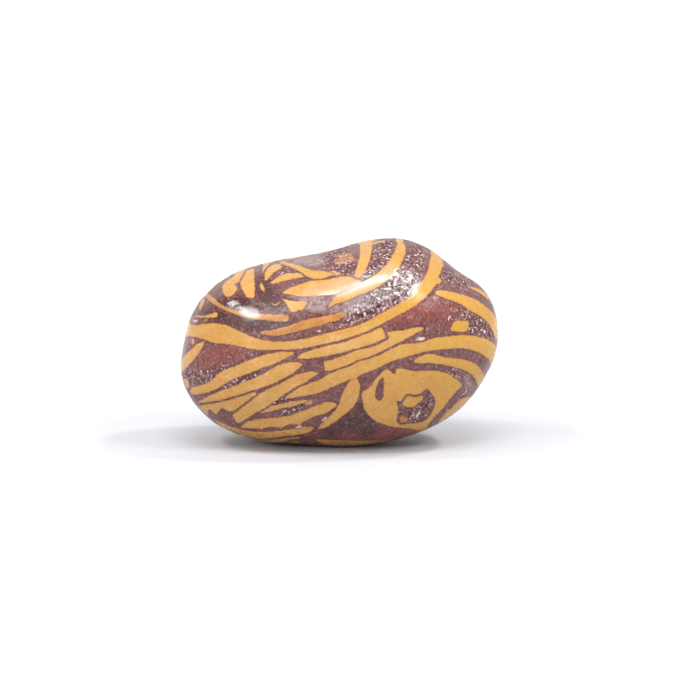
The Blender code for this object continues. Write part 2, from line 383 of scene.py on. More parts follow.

# %% [markdown]
# ## The blades go on round the back
# A band in jasper is a sheet that cuts through the stone, so one that runs over the edge of the photo
# comes out on the far side. Each such blade is carried on by a few directions from the stone's core:
# degrees of turn (0 is the front, 90 the right end, 180 the back, -90 the left end), degrees of lift,
# and half a width in mm. The back isn't in the photo, so these courses are chosen to run in the same
# slow swirl.

# %% Courses on the hidden side: the blade, which of its ends they carry on, then the course
COURSES = {
    ("long sweep", "last"): (
        (112, 45, 0.62), (132, 36, 0.58), (152, 23, 0.6), (168, 9, 0.62), (184, -4, 0.6),
        (199, -14, 0.55), (214, -20, 0.35)),
    ("long sweep", "first"): (
        (-100, 5, 0.75), (-114, 1, 0.7), (-130, -4, 0.62), (-147, -6, 0.55), (-163, -3, 0.45),
        (-176, 3, 0.2)),
    ("second sweep", "last"): (
        (104, -13, 0.6), (120, -18, 0.62), (138, -22, 0.6), (155, -23, 0.58), (172, -20, 0.55),
        (189, -15, 0.4), (200, -11, 0.12)),
    ("right upper arc", "last"): (
        (104, 2, 0.5), (120, 2, 0.55), (135, 5, 0.6), (150, 10, 0.55), (162, 17, 0.5),
        (175, 26, 0.4), (188, 36, 0.15)),
    ("upright blade", "last"): ((150, 64, 0.55), (168, 52, 0.6), (178, 40, 0.5), (186, 29, 0.15)),
    ("lower ridge blade", "last"): (
        (112, 58, 0.4), (136, 50, 0.5), (155, 38, 0.5), (168, 26, 0.12)),
    ("left edge leaf", "last"): (
        (-97, -13, 0.45), (-111, -16, 0.5), (-126, -17, 0.35), (-138, -15, 0.1)),
    ("right middle leaf", "last"): (
        (93, -25, 0.5), (108, -31, 0.55), (128, -36, 0.55), (150, -36, 0.45), (168, -34, 0.12)),
    ("bottom right rim", "first"): ((92, -32, 0.4), (106, -40, 0.4), (122, -46, 0.12)),
    ("top strip", "first"): ((-142, 60, 0.35), (-156, 50, 0.45), (-168, 38, 0.4), (-178, 27, 0.12)),
    ("left rim sliver", "first"): (
        (-100, 24, 0.35), (-118, 22, 0.5), (-138, 18, 0.4), (-155, 14, 0.1)),
    ("hook beside the upright", "first"): ((135, 70, 0.12), (165, 62, 0.1)),
}
# Blades that lie wholly out of sight: layer, warmth, course
UNSEEN_BLADES = {
    "behind the left edge patch": (2, 0.2, (
        (-88, -22, 0.4), (-106, -28, 0.55), (-130, -30, 0.55), (-152, -26, 0.15))),
    "behind the fan wedge": (1, 0.2, (
        (-86, -44, 0.3), (-108, -48, 0.55), (-134, -50, 0.45), (-158, -48, 0.12))),
    "over the lobe, left": (1, 0.2, (
        (-78, 32, 0.4), (-92, 35, 0.55), (-112, 34, 0.5), (-132, 28, 0.12))),
    "over the lobe, right": (2, 0.2, (
        (-76, 46, 0.6), (-96, 48, 0.6), (-118, 44, 0.5), (-142, 36, 0.12))),
    "back bow": (1, 0.3, (
        (200, 52, 0.1), (214, 42, 0.45), (226, 30, 0.65), (232, 17, 0.6), (228, 7, 0.35),
        (220, 2, 0.1))),
    "back leaf": (1, 0.1, (
        (172, -8, 0.1), (160, -3, 0.4), (146, -2, 0.5), (132, -5, 0.4), (122, -9, 0.1))),
    "keel blade": (1, 0.3, (
        (-150, -62, 0.1), (-172, -60, 0.5), (166, -58, 0.6), (146, -56, 0.5), (128, -56, 0.12))),
    "under blade": (2, 0.5, (
        (-50, -72, 0.15), (-90, -76, 0.5), (-140, -74, 0.5), (170, -72, 0.15))),
    "under leaf on the right": (1, 0.4, (
        (52, -62, 0.15), (72, -60, 0.45), (92, -56, 0.45), (110, -54, 0.12))),
    "under leaf on the left": (2, 0.3, (
        (-42, -56, 0.12), (-60, -54, 0.45), (-80, -50, 0.45), (-98, -46, 0.12))),
}
STONE_CORE = Vector((0.0, 0.0, 9.6)) * MM
COURSE_SAMPLES = 12


def around(turn, lift):
    """The point of the skin that lies in this direction from the stone's core."""
    turn, lift = math.radians(turn), math.radians(lift)
    outward = (math.sin(turn) * math.cos(lift), -math.cos(turn) * math.cos(lift), math.sin(lift))
    return surface.ray_cast(STONE_CORE, Vector(outward))[0]


def lay_course(course, start=()):
    """A stroke over the hidden side, after the last points of the blade it carries on, if any."""
    knots = [tuple(point) for point in start]
    knots += [(*around(turn, lift), half * MM) for turn, lift, half in course]
    laid = smooth_line(knots, COURSE_SAMPLES)
    for row in laid:
        row[:3] = surface.find_nearest(Vector(row[:3]))[0]
    return laid[COURSE_SAMPLES * max(len(start) - 1, 0) :]


hidden_strokes = []
for (name, end), course in COURSES.items():
    laid = front_strokes[name]
    start = laid[[-1 - SAMPLES_PER_SPAN, -1]] if end == "last" else laid[[SAMPLES_PER_SPAN, 0]]
    hidden_strokes.append((*BLADES[name][:2], lay_course(course, start)))
for layer, warmth, course in UNSEEN_BLADES.values():
    hidden_strokes.append((layer, warmth, lay_course(course)))
print(len(COURSES), "blades carried on,", len(UNSEEN_BLADES), "more out of sight")

# %% [markdown]
# ## Splinters between the blades
# Between the large blades, the real pattern is filled with smaller splinters that lie along them.
# On the hidden side they are grown by rule: a seed falls at random in a free place, takes its
# heading from the blades nearby, and creeps both ways over the skin until a neighbour or the
# visible front stops it. It is as wide as its share of the free room. Seeds come from one fixed
# number, so every run gives the same stone.

# %% Grow the splinters
SPLINTER_SEED = 41
SPLINTER_TRIES = 420
SPLINTER_TURNS = (80, 280)
SPLINTER_HALF_WIDTHS = (0.22, 0.6)
SPLINTER_REACHES = (4, 16)
SPLINTER_WARMTHS = (0.1, 0.2, 0.3, 0.8)
SURFACE_STEP = 0.35 * MM
HEADING_REACH = 2.5 * MM
FREE_ROOM = 0.42
SEAM_ROOM = 0.16
ROOM_SHARE = 0.9
EDGE_OF_THE_FRONT = 0.06
SHORTEST_SPLINTER = 7
TAPER_END = 0.05
TAPER_POWER = 0.6
TINY = 1e-9

draw = random.Random(SPLINTER_SEED)


def headings(laid):
    """The unit direction of a stroke at each of its points."""
    run = np.gradient(laid[:, :3], axis=0)
    return run / np.maximum(np.linalg.norm(run, axis=1)[:, None], TINY)


def grow_splinter(seed, places, directions, widest, reach):
    """A tapering stroke through a seed point, along the flow of what is already drawn, or None."""
    sides = []
    for sense in (1, -1):
        spot, facing = surface.find_nearest(seed)[:2]
        before = None
        side = []
        for _ in range(reach):
            offsets = places[:, :3] - np.array(spot)
            apart = np.linalg.norm(offsets, axis=1)
            room = (apart - places[:, 3]).min() / MM
            if room < SEAM_ROOM or facing.dot(looking) < EDGE_OF_THE_FRONT:
                break
            side.append((*spot, room - SEAM_ROOM))
            weights = np.exp(-((apart / HEADING_REACH) ** 2))
            flow = (directions * directions[apart.argmin()]).sum(axis=1)
            pull = Vector((directions * (np.sign(flow) * weights)[:, None]).sum(axis=0))
            if before and pull.dot(before) < 0 or not before and sense < 0:
                pull.negate()
            pull -= facing * pull.dot(facing)
            before = pull.normalized()
            spot, facing = surface.find_nearest(spot + before * SURFACE_STEP)[:2]
        sides.append(side)
    line = np.array(sides[1][:0:-1] + sides[0])
    if len(line) < SHORTEST_SPLINTER:
        return None
    taper = np.sin(np.linspace(TAPER_END, math.pi - TAPER_END, len(line))) ** TAPER_POWER
    line[:, 3] = np.minimum(line[:, 3] * ROOM_SHARE, widest * taper) * MM
    return line


laid_so_far = [*front_strokes.values(), *(laid for _, _, laid in hidden_strokes)]
places = np.vstack(laid_so_far)
directions = np.vstack([headings(laid) for laid in laid_so_far])
splinters = 0
for _ in range(SPLINTER_TRIES):
    turn = draw.uniform(*SPLINTER_TURNS)
    lift = math.degrees(math.asin(draw.uniform(-1, 1)))
    widest = draw.uniform(*SPLINTER_HALF_WIDTHS)
    reach = draw.randint(*SPLINTER_REACHES)
    warmth = draw.choice(SPLINTER_WARMTHS)
    seed = around(turn, lift)
    apart = np.linalg.norm(places[:, :3] - np.array(seed), axis=1)
    if (apart - places[:, 3]).min() < FREE_ROOM * MM:
        continue
    laid = grow_splinter(seed, places, directions, widest, reach)
    if laid is not None:
        hidden_strokes.append((1, warmth, laid))
        places = np.vstack([places, laid])
        directions = np.vstack([directions, headings(laid)])
        splinters += 1
print(splinters, "splinters grown out of sight")

# %% [markdown]
# ## From strokes to distances
# The pattern is kept as a distance on each point of the skin: how many mm it is outside the nearest
# band of a layer, or inside it as a negative number. A distance stays smooth between mesh points,
# so the shader can cut a crisp edge anywhere on it. Painted colours on the points would look
# blurred at this mesh size.

# %% Points of the skin, in mm and in pixels of the photo
FURTHEST = 1.0
OUT_OF_SIGHT = 0.04
IN_SIGHT = 0.16


def soft_step(values, low, high):
    """From 0 at low to 1 at high, with soft ends."""
    share = np.clip((values - low) / (high - low), 0, 1)
    return share * share * (3 - 2 * share)


points = np.array([vertex.co for vertex in shape.verts]) / MM
facings = np.array([vertex.normal for vertex in shape.verts])
offsets = points - np.array(eye) / MM
depth = offsets @ np.array(looking)
pixels = np.column_stack([
    PHOTO_SIDE / 2 + offsets @ np.array(rightward) / depth * LENS / SENSOR * PHOTO_SIDE,
    PHOTO_SIDE / 2 - offsets @ np.array(upward) / depth * LENS / SENSOR * PHOTO_SIDE,
])
towards_camera = facings @ -np.array(looking)
sight = soft_step(towards_camera, OUT_OF_SIGHT, IN_SIGHT)
print("share of the points in sight:", round(float(sight.mean()), 2))

# %% Distance to every stroke, layer by layer
# Blades that are cut off square, at their first point (0) or at their last (-1)
SQUARE_ENDS = {
    "upper middle blade": (-1,),
    "lower middle blade": (0,),
    "middle tip": (0,),
    "lower fan blade": (0,),
    "blade along the lobe": (-1,),
}
END_REACH = 3.0
END_STEPS = 3
PIXEL = 1 / PHOTO_PIXELS_PER_MM
PLAIN_WARMTH = 0.2

layers = {layer: np.full(len(points), FURTHEST) for layer in (1, 2, 3)}
warmths = np.full(len(points), PLAIN_WARMTH)
nearest = np.full(len(points), FURTHEST)


def stroke_distance(line, places, unit=1.0, square_ends=()):
    """How far each place is outside a stroke, in mm. Both are in units of this many mm."""
    furthest = FURTHEST / unit
    distance = np.full(len(places), furthest)
    for (*start, start_half), (*end, end_half) in zip(line[:-1], line[1:]):
        start, end = np.array(start), np.array(end)
        margin = furthest + max(start_half, end_half)
        low, high = np.minimum(start, end) - margin, np.maximum(start, end) + margin
        near = np.flatnonzero(((places > low) & (places < high)).all(axis=1))
        run = end - start
        offsets = places[near] - start
        along = np.clip(offsets @ run / max(run @ run, TINY), 0, 1)
        apart = np.linalg.norm(offsets - along[:, None] * run, axis=1)
        apart = apart - start_half - along * (end_half - start_half)
        distance[near] = np.minimum(distance[near], apart)
    for end in square_ends:
        inner = line[END_STEPS if end == 0 else -1 - END_STEPS, :-1]
        offsets = places - line[end, :-1]
        close = np.linalg.norm(offsets, axis=1) < END_REACH * line[end, -1]
        outward = (line[end, :-1] - inner) / np.linalg.norm(line[end, :-1] - inner)
        distance[close] = np.maximum(distance[close], (offsets @ outward)[close])
    return distance * unit


def add_band(layer, warmth, distance):
    """Joins one band to its layer, and its warmth of colour to the points nearest to it."""
    layers[layer] = np.minimum(layers[layer], distance)
    closer = distance < nearest
    nearest[closer] = distance[closer]
    warmths[closer] = warmth


for name, (layer, warmth, line) in BLADES.items():
    ends = SQUARE_ENDS.get(name, ())
    in_photo = stroke_distance(smooth_line(line), pixels, PIXEL, ends)
    on_skin = stroke_distance(front_strokes[name] / MM, points, square_ends=ends)
    add_band(layer, warmth, in_photo * sight + on_skin * (1 - sight))
for layer, warmth, laid in hidden_strokes:
    add_band(layer, warmth, stroke_distance(laid / MM, points))
print("strokes measured on", len(points), "points")

# %% [markdown]
# A patch is measured in the photo's own plane: each point of the skin that faces the camera is
# taken to its pixel, and its distance to the outline is worked out there. Cut-outs take the maximum
# instead of the minimum, which carves them out of their patch.

# %% Distance to every patch
OUTLINE_SAMPLES = 3
IN_THE_PHOTO = 0.5


def outline_distance(outline):
    """How far each point of the skin is outside an outline drawn in pixels, in mm."""
    knots = list(outline)
    closed = smooth_line([knots[-1], *knots, knots[0], knots[1]], OUTLINE_SAMPLES)
    closed = closed[OUTLINE_SAMPLES:-OUTLINE_SAMPLES]
    margin = FURTHEST * PHOTO_PIXELS_PER_MM
    low, high = closed.min(axis=0) - margin, closed.max(axis=0) + margin
    boxed = ((pixels > low) & (pixels < high)).all(axis=1)
    near = np.flatnonzero((sight > IN_THE_PHOTO) & boxed)
    x, y = pixels[near].T
    apart = np.full(len(near), margin)
    inside = np.zeros(len(near), bool)
    for (x0, y0), (x1, y1) in zip(closed[:-1], closed[1:]):
        run_x, run_y = x1 - x0, y1 - y0
        squared = max(run_x**2 + run_y**2, TINY)
        along = np.clip(((x - x0) * run_x + (y - y0) * run_y) / squared, 0, 1)
        apart = np.minimum(apart, np.hypot(x - x0 - along * run_x, y - y0 - along * run_y))
        if y0 != y1:
            inside ^= ((y0 > y) != (y1 > y)) & (x < run_x * (y - y0) / run_y + x0)
    distance = np.full(len(points), FURTHEST)
    distance[near] = np.where(inside, -apart, apart) / PHOTO_PIXELS_PER_MM
    return distance


for name, (layer, warmth, outline) in PATCHES.items():
    distance = outline_distance(outline)
    for patch, cutout in CUTOUTS.values():
        if patch == name:
            distance = np.maximum(distance, -outline_distance(cutout))
    add_band(layer, warmth, distance)
to_gold = np.minimum.reduce(list(layers.values()))
print("golden share of the skin's points:", round(float(np.mean(to_gold < 0)), 2))

# %% [markdown]
# ## Where the red ground changes
# The ground between the blades isn't even. In places the tumbling has torn out grains and left it
# coarse, in others it is brick red, nearly black, dull or greyed. On the front, the nearly black
# places hold painted shade: under the lobe a painted reflection of the dark room, and in the dimple
# painted shade in the hollow. Most of the grey is a painted sheen, a haze of reflected light. The
# lobe and the ridge have kept a wetter polish, and there are pale spots, partly pale grains and
# partly painted glints, and stains the colour of rust. All of these could be painted on the mesh by
# hand, but broad, soft strokes in the same pixels are quicker to move. Slow noise lays more of them
# out of sight.

# %% Places of coarse, tinted and polished ground: (x, y, half width) in pixels of the photo
COARSE_GROUND = {
    "inside the long sweep": (
        (338, 322, 5), (355, 314, 8), (378, 301, 11), (398, 286, 13), (411, 268, 11),
        (416, 254, 7)),
    "right of the upright blade": ((386, 245, 6), (382, 255, 9), (376, 265, 7), (369, 274, 4)),
    "left of the upright blade": ((351, 272, 5), (345, 263, 8), (338, 268, 5)),
    "top": ((325, 262, 4), (334, 254, 4), (345, 249, 3)),
    "right top": ((446, 274, 4), (458, 282, 4), (470, 284, 3)),
    "above the top strip": ((283, 271, 2), (292, 271, 2), (300, 274, 2)),
    "lower end of the eye": ((466, 392, 2), (458, 404, 2), (447, 413, 2)),
    "right end": ((462, 316, 7), (478, 324, 12), (487, 331, 7)),
    "by the start of the right arc": ((431, 296, 1.5), (437, 286, 1.5)),
    "above the fan": ((194, 374, 5), (207, 377, 6), (222, 368, 4)),
    "under the small leaf": ((283, 411, 3), (300, 407, 3)),
    "between the fan blades": ((226, 386, 2), (234, 383, 3), (246, 378, 4), (259, 372, 3)),
    "between the lower fan blades": ((276, 402, 3), (290, 397, 3)),
    "in the hollow of the eye": ((404, 414, 4), (419, 416, 5), (427, 400, 5)),
    "right of the eye": ((452, 371, 3), (462, 379, 4)),
    "rim at the lower left": ((222, 433, 3), (232, 441, 3), (244, 437, 3)),
    "left edge": ((185, 376, 2.5), (191, 388, 2.5)),
}
BRICK_GROUND = {
    "above the fan": ((200, 366, 6), (215, 358, 9), (236, 352, 7)),
    "right of the middle": ((396, 320, 5), (418, 309, 11), (446, 306, 9), (462, 309, 4)),
    "right of the eye": ((470, 382, 3), (472, 394, 4), (462, 401, 3)),
    "bottom": ((345, 437, 2), (385, 434, 5), (420, 429, 4)),
}
# On the front these darker places are partly painted shade: a painted reflection of the dark room
# under the lobe and painted shade in the hollow of the dimple; on top of the lobe and in the lower
# triangle they only make the ground darker. Out of sight they are darker tone.
DARK_AND_SHADED_GROUND = {
    "under the lobe": ((207, 313, 5), (230, 319, 8), (262, 324, 8), (292, 323, 5)),
    "top of the lobe": ((216, 303, 4), (232, 302, 6), (252, 304, 6), (262, 308, 5)),
    "dimple": ((262, 284, 7), (268, 297, 9), (276, 309, 5)),
    "lower triangle": ((330, 430, 5), (350, 422, 9), (370, 430, 6), (362, 407, 5)),
}
DULL_GROUND = {
    "dimple": ((262, 287, 5), (268, 297, 7), (276, 304, 6)),
    "patch by the dimple": ((283, 303, 5), (296, 307, 6), (306, 304, 4)),
    "under the ridge": ((300, 299, 3), (314, 303, 6), (326, 304, 5)),
    "under the lobe": ((222, 321, 3), (236, 324, 5), (252, 328, 5), (268, 325, 4)),
}
# Mostly painted sheen: a grey haze of reflected light under the ridge and on the top; by the right
# end the ground is simply greyer
SHEEN_AND_GREYED_GROUND = {
    "under the ridge": (
        (303, 303, 4), (313, 304, 6), (326, 306, 5), (339, 309, 4), (352, 306, 5), (366, 300, 5)),
    "top": ((297, 261, 2), (310, 261, 4), (322, 261, 3)),
    "by the right end": ((467, 378, 2), (469, 386, 2)),
}
POLISHED_GROUND = {"top of the lobe": ((224, 302, 5), (233, 302.5, 6), (242, 304, 5))}
POLISHED_RIDGE = {
    "front of the lobe": ((245, 312, 3), (249, 313, 4.5), (254, 314, 3)),
    "ridge": (
        (306, 292, 1), (318, 290.5, 3), (330, 289, 6), (345, 287, 9), (362, 283, 10), (378, 278, 9),
        (390, 271, 7)),
    "shoulder": (
        (350, 306, 4), (362, 302, 7), (376, 296, 9), (390, 289, 10), (402, 283, 8.5),
        (411, 278, 5.5)),
    "long sweep": ((401, 297.5, 2), (409, 292.3, 2.6), (415.5, 285.5, 2)),
}
# Pale spots: partly pale grains, partly painted glints of light on the grit
PALE_AND_GLINTING_GROUND = {
    "on the long sweep, left": ((194, 321, 1.3), (197, 320.5, 0.8)),
    "on the long sweep, middle": ((317.5, 331, 0.9), (319.5, 331, 1.2)),
    "right of the middle tip": ((416.5, 339.5, 1.2), (421, 339, 2), (424, 338.5, 1)),
    "between the saw and the rim": ((296, 427, 0.8), (301, 426.6, 0.9)),
    "on the curved leaf": ((322.5, 420.5, 0.9), (326, 418, 0.8)),
    "on the fan": ((276.5, 400, 0.9), (277.5, 400, 0.9)),
    "on the saw": ((293.5, 410, 0.9), (294.5, 410, 0.9)),
    "on the eye": ((399.5, 400, 0.9), (400.5, 400, 0.9)),
    "in the hollow of the eye": ((416.5, 417, 0.9), (420, 413, 0.8)),
    "left of the chip": ((448.5, 320, 0.8), (450, 316.5, 0.8)),
}
STAINED_GROUND = {
    "beside the upright blade": ((338, 261, 3.5), (346, 257, 4.5), (351, 259, 3)),
    "right of the top strip": ((331, 272, 2), (338, 274, 2.5)),
    "right of the saw": ((306, 404, 1.2), (311, 402, 1)),
}
# On the front alone: where, and the softness of the edge in mm
FRONT_ONLY = {
    "polished": (POLISHED_GROUND, 0.5),
    "ridge": (POLISHED_RIDGE, 0.5),
    "pale": (PALE_AND_GLINTING_GROUND, 0.1),
    "stained": (STAINED_GROUND, 0.3),
    "sheen_and_greyed": (SHEEN_AND_GREYED_GROUND, 0.4),
}
# All round the stone: the same, and where in the slow noise the hidden ones begin
ALL_ROUND = {
    "coarse": (COARSE_GROUND, 0.5, (3.1, 8.4, 1.7)),
    "brick": (BRICK_GROUND, 1.1, (12.5, 2.2, 6.9)),
    "dark": (DARK_AND_SHADED_GROUND, 1.1, (7.7, 15.1, 4.3)),
    "dull": (DULL_GROUND, 1.1, (1.4, 1.9, 9.2)),
}
print(sum(len(drawn) for drawn, *_ in (FRONT_ONLY | ALL_ROUND).values()), "places drawn")

# %% Measure the places on the skin
HIDDEN_PATCH_SIZE = 5.0
HIDDEN_PATCH_LEVELS = (0.0, 0.3)
TURNING_AWAY = (-0.05, 0.25)


def front_zone(places_drawn, soft_edge):
    """How much each point of the skin is in a place that is drawn on the front."""
    lines = [smooth_line(line) for line in places_drawn.values()]
    distance = np.min([stroke_distance(line, pixels, PIXEL) for line in lines], axis=0)
    return soft_step(-distance, -soft_edge, soft_edge / 2) * sight


def ground_zone(places_drawn, soft_edge, seed_offset):
    """As front_zone, and a slow noise lays such places on the hidden side too."""
    offset = Vector(seed_offset)
    slow = np.array([noise.noise(Vector(point) / HIDDEN_PATCH_SIZE + offset) for point in points])
    hidden = 1 - soft_step(towards_camera, *TURNING_AWAY)
    out_of_sight = hidden * soft_step(slow, *HIDDEN_PATCH_LEVELS)
    return np.maximum(front_zone(places_drawn, soft_edge), out_of_sight)


zones = {name: ground_zone(*zone) for name, zone in ALL_ROUND.items()}
zones |= {name: front_zone(*zone) for name, zone in FRONT_ONLY.items()}
for name, zone in zones.items():
    print(name, "share of the skin:", round(float(zone.mean()), 3))

# %% [markdown]
# ## Pits in the red ground
# The golden blades are hard and take a bright polish, while the ground between them plucks out in
# pits. That is real relief, so the points of the skin move in, and only in the ground: by a few
# hundredths of a mm, and by up to 0.3 mm in the larger pits. Everything moves inwards, which keeps
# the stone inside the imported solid's size. A displacement texture could do it too, but the exported
# mesh would lack its pits.

# %% Press the relief into the skin
GRAIN_SIZE = 0.3
GRAIN_DEPTH = 0.10
GAP_SIZE = 0.36
GAP_DEPTH = 0.30
GAP_LEVEL = 0.12
GAP_SEED_OFFSET = Vector((9.0, 2.0, 4.0))
WAVE_SIZE = 0.9
WAVE_DEPTH = 0.03
PIT_SIZE = 0.8
PIT_DEPTH = 0.08
PIT_LEVEL = 0.25
PIT_SEED_OFFSET = Vector((5.0, 5.0, 5.0))
EDGE_OF_GROUND = 0.1
POLISH_EVENNESS = 0.85
LEAST_COARSE = 0.02
SPOT_HEIGHT = 0.02
# The larger pits of the photo: x, y and radius in its pixels, then depth in mm
NAMED_PITS = {
    "largest, by the ridge light": (401, 282, 2.8, 0.24),
    "left of the largest": (390, 283, 1.8, 0.15),
    "left of the largest, lower": (387, 287, 1.6, 0.14),
    "under the largest": (396, 289, 1.6, 0.13),
    "right of the largest": (407, 285, 1.6, 0.13),
    "near the long sweep": (378, 308, 1.8, 0.15),
    "between grains": (391.5, 275, 1.5, 0.12),
    "lower grain": (371, 307, 1.6, 0.12),
    "lowest grain": (357, 316, 1.6, 0.12),
    "under the bright end": (412, 296, 1.6, 0.12),
}

coarse = zones["coarse"]
ground = soft_step(to_gold, 0.0, EDGE_OF_GROUND)
ground *= 1 - POLISH_EVENNESS * zones["polished"]
relief = np.zeros(len(points))
for index, point in enumerate(points):
    if ground[index] > 0:
        place = Vector(point)
        wave = 0.5 + noise.noise(place / WAVE_SIZE)
        grain = 0.0
        if coarse[index] > LEAST_COARSE:
            gap = max(0.0, noise.noise(place / GAP_SIZE + GAP_SEED_OFFSET) - GAP_LEVEL)
            grain = GRAIN_DEPTH * abs(noise.noise(place / GRAIN_SIZE)) + GAP_DEPTH * gap
        pit = max(0.0, noise.noise(place / PIT_SIZE + PIT_SEED_OFFSET) - PIT_LEVEL)
        relief[index] = WAVE_DEPTH * wave + coarse[index] * grain + PIT_DEPTH * pit
for x, y, radius, deep in NAMED_PITS.values():
    centre = np.array(land(x, y)) / MM
    apart = np.linalg.norm(points - centre, axis=1)
    relief += deep * np.exp(-((apart * PHOTO_PIXELS_PER_MM / radius) ** 2))
on_the_spot = points[:, 2] < SPOT_HEIGHT
pressed = points - facings * (relief * ground * ~on_the_spot)[:, None]
for vertex, place in zip(shape.verts, pressed * MM):
    vertex.co = place
    vertex.co.z = max(vertex.co.z, 0.0)
print("deepest pit, in mm:", round(float((relief * ground).max()), 3))

# %% [markdown]
# ## The finished piece
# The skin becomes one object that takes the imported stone's place. What was measured on its points
# goes with it as attributes, which the shader reads by name. Painted vertex colours could hold it
# too, but only between 0 and 1 and three values to a colour, while an attribute keeps a distance as
# it is.

# %% Make the stone's object
stone_mesh = bpy.data.meshes.new("jasper_skin")
shape.to_mesh(stone_mesh)
shape.free()
stone_mesh.shade_smooth()
measured = {f"band_{layer}": distance for layer, distance in layers.items()}
measured |= {"warmth": warmths, **zones}
for name, values in measured.items():
    attribute = stone_mesh.attributes.new(name, "FLOAT", "POINT")
    attribute.data.foreach_set("value", np.ascontiguousarray(values, dtype=np.float32))
stone = bpy.data.objects.new("jasper_skin", stone_mesh)
scene.collection.objects.link(stone)
print("stone:", len(stone_mesh.polygons), "triangles,", len(measured), "attributes")

# %% [markdown]
# ## Shader maths as plain expressions
# A node tree is easiest to read as arithmetic. This class wraps one socket: adding or multiplying
# it adds the Math node that does so, and any other node comes from its one make method. Numbers are
# worked out in Python and colours go through Mix, because a Math node would turn a colour grey.

# %% A socket that can be reckoned with
class Shade:
    """One value, colour or vector of a node tree, on its way to the surface."""

    def __init__(self, tree, socket=None):
        self.tree = tree
        self.socket = socket

    def make(self, kind, settings, values, output=0):
        """A node of this kind: its settings come first, then its sockets' values or links."""
        node = self.tree.nodes.new(kind)
        for name, setting in settings.items():
            setattr(node, name, setting)
        for name, value in values.items():
            if isinstance(value, Shade):
                self.tree.links.new(value.socket, node.inputs[name])
            else:
                node.inputs[name].default_value = value
        return Shade(self.tree, node.outputs[output])

    def math(self, operation, *values):
        """A Math node that does this operation."""
        return self.make("ShaderNodeMath", {"operation": operation}, dict(enumerate(values)))

    def __add__(self, other):
        return self.math("ADD", self, other)

    def __sub__(self, other):
        return self.math("SUBTRACT", self, other)

    def __rsub__(self, other):
        return self.math("SUBTRACT", other, self)

    def __mul__(self, other):
        return self.math("MULTIPLY", self, other)

    __radd__ = __add__
    __rmul__ = __mul__

    def least(self, other):
        return self.math("MINIMUM", self, other)

    def most(self, other):
        return self.math("MAXIMUM", self, other)

    def ramp(self, low, high, start=0.0, end=1.0):
        """From start at low to end at high, with soft ends."""
        values = {"Value": self, "From Min": low, "From Max": high}
        values |= {"To Min": start, "To Max": end}
        return self.make("ShaderNodeMapRange", {"interpolation_type": "SMOOTHSTEP"}, values)

    def blend(self, first, second):
        """A colour that goes from first to second as this value goes from 0 to 1."""
        values = {0: self, 6: first, 7: second}
        return self.make("ShaderNodeMix", {"data_type": "RGBA"}, values, output=2)

    def attribute(self, name):
        """What was measured on the skin's points under this name."""
        return self.make("ShaderNodeAttribute", {"attribute_name": name}, {}, output="Fac")

    def grain(self, place, size, detail=2.0, roughness=0.5):
        """Noise from -1 to 1 with lumps of this size in mm."""
        values = {"Vector": place, "Scale": 1 / (size * MM)}
        values |= {"Detail": detail, "Roughness": roughness}
        return self.make("ShaderNodeTexNoise", {}, values) * 2.0 - 1.0


def new_material(name):
    """A material with its Principled shader, and a Shade to start expressions from."""
    material = bpy.data.materials.new(name)
    material.use_nodes = True
    tree = material.node_tree
    return material, tree.nodes["Principled BSDF"], Shade(tree)


def feed(shader, socket_name, shade):
    """Links a Shade to a socket of the shader."""
    shade.tree.links.new(shade.socket, shader.inputs[socket_name])


def keep_even(shader, settings):
    """Sets the sockets that are the same all over the surface."""
    for socket_name, setting in settings.items():
        shader.inputs[socket_name].default_value = setting


def lay_over(colour, *tints):
    """A colour with tints laid over it in turn, each as far as the value before it says."""
    for mask, tint in tints:
        colour = mask.blend(colour, tint)
    return colour


print("shader expressions are ready")

# %% [markdown]
# ## The stone's material
# One material holds both minerals. The three layers of distance are joined into one, with a seam kept
# around the earlier layers, and a fine noise makes the edges ragged as crystals do. Inside the bands
# the gold turns orange towards the edge, and rust-red where the warmth is high, which on the bottom
# rim is painted shade; outside, a thin dark line borders them. The ground is maroon with brick-red
# and nearly black places, flecked with pale grains. On the front, the nearly black places are partly
# painted shade and a painted reflection of the dark room, the grey is a painted sheen, and part of
# the pale flecks and grit are painted glints. A painted image could hold all this, but it would need
# an unwrapped skin, while nodes that read the place on the stone stay sharp from every side.

# %% Noises of the stone: size of the lumps in mm, detail, roughness
NOISES = {
    "edge waves": (0.55, 2.0, 0.5),
    "edge teeth": (0.2, 3.0, 0.5),
    "seams": (1.3, 2.0, 0.5),
    "clouds": (1.6, 3.0, 0.5),
    "fine": (0.3, 3.0, 0.5),
    "orange": (0.7, 5.0, 0.65),
    "blushes": (2.4, 4.0, 0.6),
    "rust": (1.0, 4.0, 0.5),
    "edge shade": (0.9, 2.0, 0.5),
    "mottle": (0.42, 5.0, 0.75),
    "red crumbs": (0.4, 3.0, 0.5),
    "crumbs": (0.22, 3.0, 0.7),
    "where flecks are": (1.4, 2.0, 0.5),
    "grit": (0.25, 2.5, 0.65),
    "where grit is": (0.9, 2.0, 0.5),
    "glints": (0.3, 3.0, 0.6),
    "swell": (0.7, 2.0, 0.5),
}

jasper, jasper_shader, shade = new_material("jasper")
place = shade.make("ShaderNodeTexCoord", {}, {}, output="Object")
noises = {name: shade.grain(place, *lumps) for name, lumps in NOISES.items()}
print(len(noises), "noises")

# %% Join the layers and cut the edges
SEAM = 0.13
SEAM_WAVER = 0.05
EDGE_WAVES = 0.07
EDGE_TEETH = 0.12
EDGE_TRIM = 0.03
EDGE_SOFTNESS = 0.06

